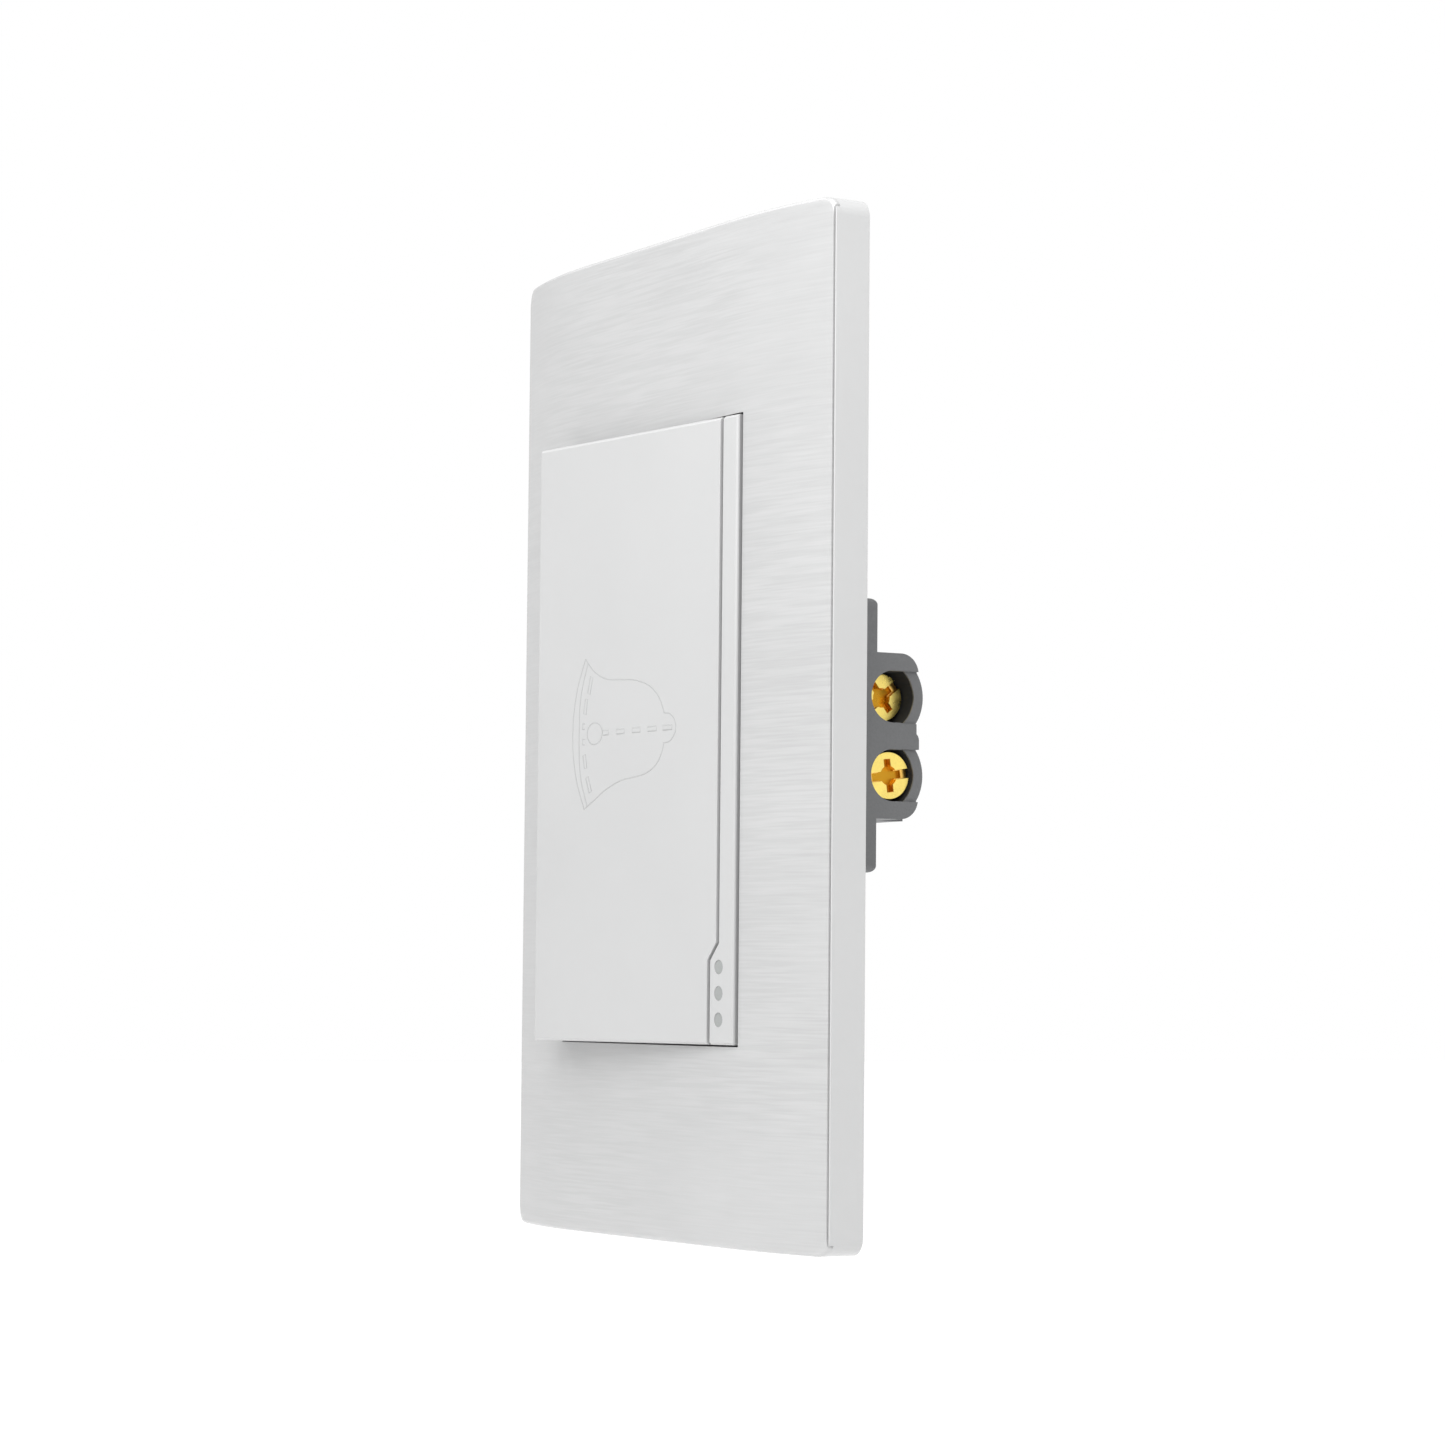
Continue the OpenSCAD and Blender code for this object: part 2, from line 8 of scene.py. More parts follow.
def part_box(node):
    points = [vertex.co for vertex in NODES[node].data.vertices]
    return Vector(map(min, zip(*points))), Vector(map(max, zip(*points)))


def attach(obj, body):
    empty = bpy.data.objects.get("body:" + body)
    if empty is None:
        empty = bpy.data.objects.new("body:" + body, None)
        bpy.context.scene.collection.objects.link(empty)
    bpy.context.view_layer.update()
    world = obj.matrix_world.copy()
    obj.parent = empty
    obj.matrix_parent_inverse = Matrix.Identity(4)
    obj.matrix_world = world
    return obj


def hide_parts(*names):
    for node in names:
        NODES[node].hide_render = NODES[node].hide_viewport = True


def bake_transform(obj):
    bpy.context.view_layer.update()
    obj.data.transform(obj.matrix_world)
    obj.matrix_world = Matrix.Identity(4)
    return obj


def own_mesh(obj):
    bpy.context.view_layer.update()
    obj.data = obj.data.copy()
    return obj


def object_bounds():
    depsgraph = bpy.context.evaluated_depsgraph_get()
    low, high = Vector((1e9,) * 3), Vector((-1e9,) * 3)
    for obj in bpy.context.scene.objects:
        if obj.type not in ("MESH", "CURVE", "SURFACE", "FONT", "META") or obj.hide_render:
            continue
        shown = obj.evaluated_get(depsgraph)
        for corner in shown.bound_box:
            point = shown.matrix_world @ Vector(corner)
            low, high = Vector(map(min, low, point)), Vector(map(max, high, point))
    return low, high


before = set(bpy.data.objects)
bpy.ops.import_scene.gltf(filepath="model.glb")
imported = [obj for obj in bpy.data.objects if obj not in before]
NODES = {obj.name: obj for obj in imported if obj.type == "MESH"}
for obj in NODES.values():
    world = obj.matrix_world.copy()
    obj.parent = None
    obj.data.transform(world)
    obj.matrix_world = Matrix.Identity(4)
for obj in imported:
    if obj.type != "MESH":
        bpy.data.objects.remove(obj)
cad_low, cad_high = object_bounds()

MM = 0.001

# ---- Sizes of the part, in millimetres ----

# The cover: a skin that is flat in the middle and crowned at its sides
FACE_Y = -7.1
CROWN = 2.6
FLAT_HALF = 18.0
PLATE_HALF_W = 37.0
SIDE_RUN = PLATE_HALF_W - FLAT_HALF
CROWN_R = (SIDE_RUN ** 2 + CROWN ** 2) / (2 * CROWN)
SKIN_T = 0.8
PLATE_HALF_H = 59.0
CORNER_R = 2.2
PANEL_EDGE_R = 0.45
PANEL_ROWS = (0, 0.03, 0.08, 0.15, 0.24, 0.34, PANEL_EDGE_R, 1.2, 3)
PANEL_BAND = 8
OPENING_HALF_W = 21.25
OPENING_HALF_H = 36.2

# The key, which tilts about its pivot, and where painted shade lies on its hinge side wall and in
# its groove
PIVOT_X = 17.5
PIVOT_Y = -4.3
KEY_TILT = math.radians(5.6)
KEY_TOP_Y = -7.85
KEY_RIGHT = 20.6
GROOVE_LEFT = 15.45
KEY_HALF_H = 36.0
KEY_CHAMFER = 0.3
# Painted shade: how the darker colour fades in on the hinge side wall and in the groove
SIDE_SHADE_FADE = (0.15, 0.08)
GROOVE_SHADE_DEPTH = (0.3, 0.4)
GROOVE_SHADE_MARGIN = (0.3, 0.2)

# The two return springs under the key
SPRING_X = -12.0
SPRING_Z = 7.0
SPRING_R = 2.25
SPRING_WIRE_R = 0.25
SPRING_TURNS = 6
SPRING_LOW = 1.55
SPRING_HIGH = -8.6
SPRING_DEAD_TURNS = 0.85

# The contact's leaf spring
BLADE_Y = 3.92
BLADE_T = 0.28
BLADE_ROOT = 6.5
BLADE_END = 9.8
BLADE_NECK = 4.5
BLADE_CORNER_R = 0.8
BLADE_WIDE = (2.4, 6.8)
BLADE_NARROW = 1.9
BLADE_TIP = -15.0

# The module's two terminal windows
WINDOW_Z = 4.6
WINDOW_Y = 14.4
WINDOW_REACH = 3.6
WINDOW_FACE_X = 19.5
WINDOW_FLOOR_X = 15.2
WINDOW_FADE = 0.2

# How meshes are joined up and rounded
JOIN_DIST = 0.001
FLAT_ANGLE = math.radians(0.6)
BEVEL_ANGLE = math.radians(30)


def mm(*values):
    """A point given in millimetres, in metres."""
    return Vector(values) * MM


def key_pose(x, y, z):
    """A point of the level key, turned to the key's released position."""
    dx = x - PIVOT_X
    dy = y - PIVOT_Y
    c = math.cos(KEY_TILT)
    s = math.sin(KEY_TILT)
    return mm(PIVOT_X + dx * c - dy * s, PIVOT_Y + dx * s + dy * c, z)


# ---- Materials ----

class Finish:
    """A procedural material, put together from noise over the piece's own coordinates."""

    def __init__(self, name, colour, roughness, metallic=0.0, **sockets):
        self.name = name
        self.material = bpy.data.materials.new(name)
        self.material.use_nodes = True
        self.nodes = self.material.node_tree.nodes
        self.links = self.material.node_tree.links
        self.shader = self.nodes["Principled BSDF"]
        self.place = self.nodes.new("ShaderNodeTexCoord").outputs["Object"]
        self.set("Base Color", (*colour, 1))
        self.set("Roughness", roughness)
        self.set("Metallic", metallic)
        for socket, value in sockets.items():
            self.set(socket.replace("_", " "), value)
        self.colour = None
        self.base = colour

    def set(self, socket, value):
        """Sets a constant on the shader."""
        self.shader.inputs[socket].default_value = value

    def add(self, kind, **values):
        """Adds a node and sets its properties."""
        node = self.nodes.new(kind)
        for name, value in values.items():
            setattr(node, name, value)
        return node

    def noise(self, size, detail=2.0, rough=0.5, offset=(0, 0, 0)):
        """Noise whose grains are about size = (x, y, z) millimetres."""
        mapping = self.add("ShaderNodeMapping")
        mapping.inputs["Scale"].default_value = [1 / (s * MM) for s in size]
        mapping.inputs["Location"].default_value = offset
        self.links.new(self.place, mapping.inputs["Vector"])
        noise = self.add("ShaderNodeTexNoise")
        noise.inputs["Scale"].default_value = 1.0
        noise.inputs["Detail"].default_value = detail
        noise.inputs["Roughness"].default_value = rough
        self.links.new(mapping.outputs["Vector"], noise.inputs["Vector"])
        return noise.outputs["Fac"]

    def ramp(self, value, start, end, low=0.0, high=1.0, **settings):
        """Goes from low to high as value goes from start to end."""
        node = self.add("ShaderNodeMapRange", **settings)
        node.inputs["From Min"].default_value = start
        node.inputs["From Max"].default_value = end
        node.inputs["To Min"].default_value = low
        node.inputs["To Max"].default_value = high
        self.links.new(value, node.inputs["Value"])
        return node.outputs["Result"]

    def step(self, value, start, end):
        """Goes smoothly from 0 to 1 as value goes from start to end."""
        return self.ramp(value, start, end, interpolation_type="SMOOTHSTEP")

    def over_colour(self, **settings):
        """A mix whose input A is the colour so far, and which becomes the colour."""
        mix = self.add("ShaderNodeMix", data_type="RGBA", **settings)
        if self.colour is None:
            mix.inputs["A"].default_value = (*self.base, 1)
        else:
            self.links.new(self.colour, mix.inputs["A"])
        self.colour = mix.outputs["Result"]
        self.links.new(self.colour, self.shader.inputs["Base Color"])
        return mix

    def tint(self, factor, low, high, lower=0.3, upper=0.7):
        """Multiplies the colour so far by low to high as factor goes from lower to upper."""
        mix = self.over_colour(blend_type="MULTIPLY")
        mix.inputs["Factor"].default_value = 1.0
        self.links.new(self.ramp(factor, lower, upper, low, high), mix.inputs["B"])

    def blend_colour(self, factor, other):
        """Mixes the colour so far towards another as factor goes from 0 to 1."""
        mix = self.over_colour()
        mix.inputs["B"].default_value = (*other, 1)
        self.links.new(factor, mix.inputs["Factor"])

    def maths(self, operation, first, second=0):
        """Works on one or two values; each may be a plain number."""
        node = self.add("ShaderNodeMath", operation=operation)
        for socket, value in zip(node.inputs, (first, second)):
            if isinstance(value, (int, float)):
                socket.default_value = value
            else:
                self.links.new(value, socket)
        return node.outputs["Value"]

    def below(self, start, end):
        """Grows from 0 to 1 down the piece's length along X, from start to end."""
        parts = self.add("ShaderNodeSeparateXYZ")
        box = self.add("ShaderNodeTexCoord").outputs["Generated"]
        self.links.new(box, parts.inputs["Vector"])
        return self.step(self.maths("SUBTRACT", 1.0, parts.outputs["X"]), 1 - start, 1 - end)

    def position(self):
        """The x, y and z of the shaded point, in metres."""
        parts = self.add("ShaderNodeSeparateXYZ")
        self.links.new(self.place, parts.inputs["Vector"])
        return [parts.outputs[axis] for axis in "XYZ"]

    def product(self, first, second):
        """Two values multiplied."""
        return self.maths("MULTIPLY", first, second)

    def vary_roughness(self, factor, low, high):
        """Roughness from low to high with the noise factor."""
        self.rough = self.ramp(factor, 0.3, 0.7, low, high)
        self.links.new(self.rough, self.shader.inputs["Roughness"])

    def bump(self, factor, height):
        """Relief of height millimetres."""
        bump = self.add("ShaderNodeBump")
        bump.inputs["Strength"].default_value = 1.0
        bump.inputs["Distance"].default_value = height * MM
        self.links.new(factor, bump.inputs["Height"])
        self.links.new(bump.outputs["Normal"], self.shader.inputs["Normal"])


def brushed_panel():
    """Silver-white sheet, brushed across its width, more strongly in some patches."""
    f = Finish("panel_brushed", (0.356, 0.357, 0.358), 0.32, 0.15, Anisotropic=0.4)
    fine = f.noise((7, 7, 0.18), detail=3, rough=0.55)
    long = f.noise((10, 10, 0.3), detail=2, rough=0.5, offset=(3, 1, 5))
    cloud = f.noise((18, 18, 11), detail=2, offset=(9, 2, 1))
    patches = f.noise((40, 40, 25), detail=1, offset=(2, 5, 3.3))
    strength = f.maths("ADD", f.product(f.step(patches, 0.6, 0.4), 0.9), 0.35)
    streaks = f.product(f.maths("SUBTRACT", long, 0.5), strength)
    f.tint(fine, 0.98, 1.02, 0.38, 0.62)
    f.tint(streaks, 0.962, 1.034, -0.12, 0.12)
    f.tint(cloud, 0.98, 1.015)
    f.vary_roughness(long, 0.28, 0.37)
    f.bump(long, 0.002)
    return f


def satin(name, colour, roughness, grain=0.004):
    """Smooth moulded or painted plastic with a very fine grain."""
    f = Finish(name, colour, roughness)
    grains = f.noise((0.12, 0.12, 0.12), detail=2)
    wave = f.noise((16, 16, 16), detail=1, offset=(4, 4, 4))
    f.tint(wave, 0.985, 1.01)
    f.vary_roughness(grains, roughness - 0.04, roughness + 0.05)
    f.bump(grains, grain)
    return f


def painted_shade_masks(f):
    """Two masks for painted shade on the key: its hinge side wall, which lies in the shadow of the
    gap, and its groove.
    """
    x, y, _ = f.position()
    dx = f.maths("SUBTRACT", x, PIVOT_X * MM)
    dy = f.maths("SUBTRACT", y, PIVOT_Y * MM)
    c = math.cos(KEY_TILT)
    s = math.sin(KEY_TILT)
    across = f.maths("ADD", f.product(dx, c), f.product(dy, s))
    inward = f.maths("SUBTRACT", f.product(dy, c), f.product(dx, s))
    right = KEY_RIGHT - PIVOT_X
    face = KEY_TOP_Y - PIVOT_Y
    groove_left = GROOVE_LEFT - PIVOT_X
    side = f.step(across, *((right - margin) * MM for margin in SIDE_SHADE_FADE))
    deep = f.step(inward, *((face + depth) * MM for depth in GROOVE_SHADE_DEPTH))
    groove = f.step(across, *((groove_left - margin) * MM for margin in GROOVE_SHADE_MARGIN))
    return side, f.product(deep, groove)


def key_satin_with_painted_shade(name, roughness):
    """Fine satin finish, with painted shade on the key's hinge side wall and in its groove."""
    f = satin(name, (0.342, 0.343, 0.344), roughness)
    side, groove = painted_shade_masks(f)
    # Painted shade: the groove and the hinge side wall are darkened where shadow falls in them
    f.blend_colour(groove, (0.27, 0.27, 0.272))
    f.blend_colour(side, (0.24, 0.24, 0.242))
    return f


def moulded(name, colour, roughness, grain, size):
    """Moulded plastic with a fine spark-eroded texture of grains of the given size."""
    f = Finish(name, colour, roughness)
    grains = f.noise((size, size, size), detail=3)
    flow = f.noise((9, 5, 14), detail=2, offset=(1, 7, 3))
    f.tint(grains, 0.95, 1.04)
    f.tint(flow, 0.95, 1.04)
    f.vary_roughness(flow, roughness - 0.07, roughness + 0.07)
    f.bump(grains, grain)
    return f


def window_mask(f):
    """1 inside the module's two terminal windows, 0 elsewhere."""
    x, y, z = f.position()
    depth = f.step(f.maths("SUBTRACT", WINDOW_FACE_X * MM, x), 0, WINDOW_FADE * MM)
    floor_end = WINDOW_FLOOR_X - WINDOW_FADE / 2
    off_floor = f.step(x, (floor_end - WINDOW_FADE) * MM, floor_end * MM)
    rise = f.maths("SUBTRACT", f.maths("ABSOLUTE", z), WINDOW_Z * MM)
    across = f.maths("SUBTRACT", y, WINDOW_Y * MM)
    reach = f.maths("SQRT", f.maths("ADD", f.product(rise, rise), f.product(across, across)))
    near = f.step(f.maths("SUBTRACT", WINDOW_REACH * MM, reach), 0, WINDOW_FADE / 2 * MM)
    return f.product(f.product(depth, off_floor), near)


def module_plastic():
    """Dark grey moulded plastic, with painted shade, near black, and a matt surface inside its
    terminal windows.
    """
    f = moulded("module_grey", (0.1, 0.102, 0.105), 0.52, 0.02, 0.3)
    inside = window_mask(f)
    # Painted shade: the inside of the terminal windows is darkened to near black
    f.blend_colour(inside, (0.012, 0.012, 0.012))
    matt = f.maths("MAXIMUM", f.rough, f.product(inside, 0.95))
    f.links.new(matt, f.shader.inputs["Roughness"])
    return f


def metal(name, colour, roughness, streak):
    """Drawn, rolled or plated metal with fine marks along one way."""
    f = Finish(name, colour, roughness, 1.0)
    marks = f.noise(streak, detail=3)
    stain = f.noise((1.8, 1.8, 1.8), detail=3, offset=(5, 1, 2))
    f.tint(marks, 0.93, 1.05)
    f.tint(stain, 0.94, 1.03)
    f.vary_roughness(stain, roughness - 0.08, roughness + 0.1)
    f.bump(marks, 0.004)
    return f


def screw_metal():
    """Bright yellow plating, with painted shade, orange then brown, in the depth of the driver
    recess.
    """
    f = Finish("screw_brass", (0.95, 0.745, 0.2), 0.3, 1.0)
    marks = f.noise((0.25, 0.25, 0.25), detail=3)
    stain = f.noise((1.8, 1.8, 1.8), detail=3, offset=(5, 1, 2))
    f.tint(marks, 0.95, 1.04)
    f.tint(stain, 0.95, 1.03)
    f.vary_roughness(stain, 0.24, 0.4)
    f.bump(marks, 0.004)
    # Painted shade: orange, then brown, towards the bottom of the driver recess
    f.blend_colour(f.below(0.975, 0.93), (0.85, 0.52, 0.12))
    f.blend_colour(f.below(0.895, 0.87), (0.58, 0.29, 0.022))
    return f


FINISHES = (
    satin("cover_satin", (0.366, 0.367, 0.368), 0.34),
    brushed_panel(),
    key_satin_with_painted_shade("key_satin", 0.36),
    key_satin_with_painted_shade("strip_satin", 0.34),
    moulded("bell_line", (0.29, 0.295, 0.293), 0.45, 0.004, 0.15),
    moulded("glow_grey", (0.21, 0.218, 0.214), 0.45, 0.008, 0.15),
    moulded("frame_white", (0.66, 0.66, 0.64), 0.45, 0.015, 0.3),
    metal("strap_steel", (0.62, 0.63, 0.65), 0.38, (3.0, 0.2, 0.2)),
    metal("pin_steel", (0.52, 0.53, 0.55), 0.3, (0.2, 0.2, 3.0)),
    satin("plunger_nylon", (0.70, 0.68, 0.60), 0.42, 0.006),
    metal("spring_steel", (0.48, 0.49, 0.51), 0.28, (0.3, 0.3, 0.3)),
    module_plastic(),
    metal("screw_zinc", (0.60, 0.61, 0.64), 0.32, (0.2, 1.0, 0.2)),
    metal("copper", (0.70, 0.40, 0.24), 0.34, (0.2, 3.0, 0.2)),
    metal("spring_bronze", (0.72, 0.50, 0.26), 0.3, (3.0, 0.2, 0.2)),
    metal("silver_contact", (0.82, 0.81, 0.79), 0.22, (0.3, 0.3, 0.3)),
    metal("brass", (0.78, 0.58, 0.24), 0.32, (0.2, 3.0, 0.2)),
    screw_metal(),
)
MATERIALS = {f.name: f.material for f in FINISHES}


# ---- Pieces ----

def smooth(obj, bevel):
    """Rounds a piece's edges by bevel millimetres and shades it smoothly."""
    for polygon in obj.data.polygons:
        polygon.use_smooth = True
    if bevel:
        rounding = obj.modifiers.new("Rounding", "BEVEL")
        rounding.width = bevel * MM
        rounding.segments = 2
        rounding.limit_method = "ANGLE"
        rounding.angle_limit = BEVEL_ANGLE
        rounding.miter_outer = "MITER_ARC"
    normals = obj.modifiers.new("Normals", "WEIGHTED_NORMAL")
    normals.weight = 80


def paint(obj, slot):
    """Gives a piece one material, the one of the given name."""
    obj.data.materials.clear()
    obj.data.materials.append(MATERIALS[slot])


def dress(node, slot, bevel):
    """Keeps a CAD node's shape: joins its faces, rounds its edges and paints it."""
    obj = NODES[node]
    weld = obj.modifiers.new("Join", "WELD")
    weld.merge_threshold = JOIN_DIST * MM
    flat = obj.modifiers.new("Flat faces", "DECIMATE")
    flat.decimate_type = "DISSOLVE"
    flat.angle_limit = FLAT_ANGLE
    smooth(obj, bevel)
    paint(obj, slot)


def new_piece(name, vertices, faces, slot, body=None, replaces=(), bevel=0.0):
    """A piece from points in metres and faces."""
    mesh = bpy.data.meshes.new(name)
    mesh.from_pydata(vertices, [], faces)
    work = bmesh.new()
    work.from_mesh(mesh)
    bmesh.ops.recalc_face_normals(work, faces=work.faces)
    work.to_mesh(mesh)
    work.free()
    obj = bpy.data.objects.new(name, mesh)
    bpy.context.scene.collection.objects.link(obj)
    smooth(obj, bevel)
    paint(obj, slot)
    if replaces:
        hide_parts(*replaces)
    if body:
        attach(obj, body)
    return obj


def shell(front, back, faces):
    """A closed sheet: faces over the front points, the same over the back points, and
    walls along every open edge. Returns its points and faces."""
    count = len(front)
    edges = set()
    for face in faces:
        for i, a in enumerate(face):
            edges.add((a, face[(i + 1) % len(face)]))
    walls = [(b, a, a + count, b + count) for a, b in sorted(edges) if (b, a) not in edges]
    backs = [tuple(i + count for i in reversed(face)) for face in faces]
    return list(front) + list(back), list(faces) + backs + walls


# ---- Cover ----

def spread(low, high, steps):
    """Evenly spaced values from low to high, both included."""
    return [low + (high - low) * i / steps for i in range(steps + 1)]


def skin_y(x, depth):
    """Y of the crowned face, lowered by depth, at x."""
    run = max(abs(x) - FLAT_HALF, 0)
    if run == 0:
        return FACE_Y + depth
    return FACE_Y + CROWN_R - math.sqrt((CROWN_R - depth) ** 2 - run ** 2)


def panel_top(x):
    """Height of the skin's outline at x, with the plate's rounded corners."""
    past = max(abs(x) - (PLATE_HALF_W - CORNER_R), 0)
    return PLATE_HALF_H - CORNER_R + math.sqrt(CORNER_R ** 2 - past ** 2)


def edge_drop(x, z):
    """How far the skin's front falls away at its rounded top, bottom and corners."""
    past_x = max(abs(x) - (PLATE_HALF_W - CORNER_R), 0)
    past_z = max(abs(z) - (PLATE_HALF_H - CORNER_R), 0)
    if past_z == 0:
        return 0
    inside = CORNER_R - math.hypot(past_x, past_z)
    short = min(max(PANEL_EDGE_R - inside, 0), PANEL_EDGE_R)
    return PANEL_EDGE_R - math.sqrt(PANEL_EDGE_R ** 2 - short ** 2)


def front_panel():
    """The crowned brushed skin, rounded over at its top and bottom."""
    half_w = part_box("front_panel")[1].x / MM
    straight = PLATE_HALF_W - CORNER_R
    right = spread(0, FLAT_HALF, 4)
    right += spread(FLAT_HALF, OPENING_HALF_W, 3)[1:]
    right += spread(OPENING_HALF_W, straight, 12)[1:]
    right += spread(straight, half_w, 8)[1:]
    columns = [-x for x in reversed(right[1:])] + right

    front = []
    back = []
    for x in columns:
        outer = panel_top(x)
        ends = [outer - step for step in PANEL_ROWS]
        upper = spread(OPENING_HALF_H, outer - PANEL_BAND, 3) + list(reversed(ends))
        levels = [-z for z in reversed(upper)] + spread(-OPENING_HALF_H, OPENING_HALF_H, 9)[1:-1]
        levels += upper
        front += [mm(x, skin_y(x, edge_drop(x, z)), z) for z in levels]
        back += [mm(x, skin_y(x, SKIN_T), z) for z in levels]
    rows = len(levels)
    hole = range(len(upper) - 1, rows - len(upper))
    faces = []
    for i in range(len(columns) - 1):
        middle = (columns[i] + columns[i + 1]) / 2
        for j in range(rows - 1):
            if abs(middle) < OPENING_HALF_W and j in hole:
                continue
            a = i * rows + j
            faces.append((a, a + rows, a + rows + 1, a + 1))
    new_piece("front_skin", *shell(front, back, faces), "panel_brushed", "cover",
              ["front_panel"], bevel=0.08)


# ---- Key ----

def level_y(point):
    """Y that a point of the released key would have with the key level."""
    dx = point.x / MM - PIVOT_X
    dy = point.y / MM - PIVOT_Y
    return PIVOT_Y - dx * math.sin(KEY_TILT) + dy * math.cos(KEY_TILT)


def chamfered_ends(node, name, slot, bevel):
    """A key piece in its CAD node's shape, with its face's two ends chamfered."""
    mesh = NODES[node].data.copy()
    mesh.name = name
    work = bmesh.new()
    work.from_mesh(mesh)
    bmesh.ops.remove_doubles(work, verts=work.verts, dist=JOIN_DIST * MM)
    bmesh.ops.dissolve_limit(work, angle_limit=FLAT_ANGLE, verts=work.verts,
                             edges=work.edges)
    close = 0.02
    weights = work.edges.layers.float.new("bevel_weight_edge")
    for edge in work.edges:
        at_end = all(abs(v.co.z) > (KEY_HALF_H - close) * MM for v in edge.verts)
        on_face = all(abs(level_y(v.co) - KEY_TOP_Y) < close for v in edge.verts)
        edge[weights] = 1.0 if at_end and on_face else 0.0
    work.to_mesh(mesh)
    work.free()
    obj = bpy.data.objects.new(name, mesh)
    bpy.context.scene.collection.objects.link(obj)
    ends = obj.modifiers.new("Ends", "BEVEL")
    ends.width = KEY_CHAMFER * MM
    ends.segments = 1
    ends.limit_method = "WEIGHT"
    smooth(obj, bevel)
    paint(obj, slot)
    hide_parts(node)
    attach(obj, "key")


# ---- Bell outline on the key ----

LINE_W = 0.15
LINE_RISE = 0.012
LINE_SINK = 0.004
BELL_Z = 0.7
CLAPPER_X = -8.03
CLAPPER_HALF_W = 1.6
CLAPPER_HALF_H = 1.3
DASH_HALF_W = 0.27


def curve_through(points, steps=8):
    """Points along a smooth curve through the given ones."""
    ends = [points[0]] + list(points) + [points[-1]]
    out = []
    for i in range(1, len(ends) - 2):
        p0, p1, p2, p3 = (Vector(p) for p in ends[i - 1:i + 3])
        for s in range(steps):
            t = s / steps
            out.append(0.5 * (2 * p1 + (p2 - p0) * t + (2 * p0 - 5 * p1 + 4 * p2 - p3) * t * t
                              + (3 * p1 - p0 - 3 * p2 + p3) * t ** 3))
    out.append(Vector(points[-1]))
    return out


def ring(centre_x, half_w, half_h, count=36):
    """Points around an oval on the bell's axis."""
    angles = [2 * math.pi * i / count for i in range(count)]
    return [Vector((centre_x + half_w * math.cos(t), half_h * math.sin(t))) for t in angles]


def line_on_key(path, closed):
    """A thin raised line along a path on the key's face. Returns its points and faces."""
    count = len(path)
    vertices = []
    for i, p in enumerate(path):
        before = path[i - 1] if i or closed else p
        after = path[(i + 1) % count] if i < count - 1 or closed else p
        way = (after - before).normalized()
        side = Vector((-way.y, way.x)) * LINE_W / 2
        for q, depth in ((p - side, LINE_SINK), (p - side, -LINE_RISE),
                         (p + side, -LINE_RISE), (p + side, LINE_SINK)):
            vertices.append(key_pose(q.x, KEY_TOP_Y + depth, q.y + BELL_Z))
    faces = []
    for i in range(count if closed else count - 1):
        a = i * 4
        b = (i + 1) % count * 4
        faces += [(a + k, a + (k + 1) % 4, b + (k + 1) % 4, b + k) for k in range(4)]
    if not closed:
        last = (count - 1) * 4
        faces += [(3, 2, 1, 0), (last, last + 1, last + 2, last + 3)]
    return vertices, faces


def bell_paths():
    """The bell lying on its side, its mouth to the left: its paths about its own axis, in
    millimetres, each with whether it is closed."""
    upper = [(-10.15, 9.0), (-9.1, 8.05), (-7.75, 7.15), (-5.55, 6.4), (-2.6, 6.15),
             (0.25, 5.95), (3.1, 5.2), (5.1, 3.9), (6.1, 2.5), (6.4, 1.75)]
    lower = [(-10.15, -9.0), (-8.0, -8.0), (-5.4, -6.75), (-2.45, -5.85), (0.1, -5.55),
             (2.2, -5.3), (4.1, -4.7), (5.3, -3.85), (6.15, -2.6), (6.4, -1.75)]
    cap = [(6.4, 1.75), (7.6, 1.6), (8.5, 0.9), (8.85, 0), (8.5, -0.9), (7.6, -1.6),
           (6.4, -1.75)]
    mouth = [(-10.15, 9.0), (-11.8, 5.6), (-12.65, 1.9), (-12.65, -1.9), (-11.8, -5.6),
             (-10.15, -9.0)]
    inner = [(-9.6, 8.45), (-10.65, 6.0), (-11.2, 3.9), (-11.35, 1.5), (-11.35, -1.5),
             (-11.2, -3.9), (-10.65, -6.1), (-9.5, -8.65)]
    paths = [(curve_through(points), False) for points in (upper, lower, cap, mouth, inner)]
    paths.append((ring(CLAPPER_X, CLAPPER_HALF_W, CLAPPER_HALF_H), True))
    for x0, x1 in ((-6.3, -5.1), (-3.45, -1.8), (-0.1, 1.55), (3.1, 4.85), (6.2, 8.05)):
        paths.append((dash((x0, 0), (x1, 0)), True))
    for start, end in (((-8.8, 6.8), (-9.4, 4.8)), ((-9.85, 4.2), (-10.2, 2.4)),
                       ((-10.25, -2.5), (-9.9, -4.1)), ((-9.6, -5.2), (-8.85, -7.0))):
        paths.append((dash(start, end), True))
    for mirror in (-1, 1):
        hook = ((-10.15, 0.6), (-10.6, 0.6), (-10.6, 1.25), (-10.15, 1.25))
        paths.append(([Vector((x, mirror * z)) for x, z in hook], False))
    return paths


def dash(start, end):
    """The four corners of a narrow box along a short stroke."""
    start = Vector(start)
    end = Vector(end)
    way = (end - start).normalized()
    side = Vector((-way.y, way.x)) * DASH_HALF_W
    return [start - side, end - side, end + side, start + side]


def bell_outline():
    """All of the bell's lines as one piece, in a material a little paler than that of the dots."""
    vertices = []
    faces = []
    for path, closed in bell_paths():
        points, sides = line_on_key(path, closed)
        faces += [tuple(i + len(vertices) for i in side) for side in sides]
        vertices += points
    obj = new_piece("bell_outline", vertices, faces, "glow_grey", "key")
    obj.data.materials[0] = MATERIALS["bell_line"]


# ---- Springs and contact blade ----

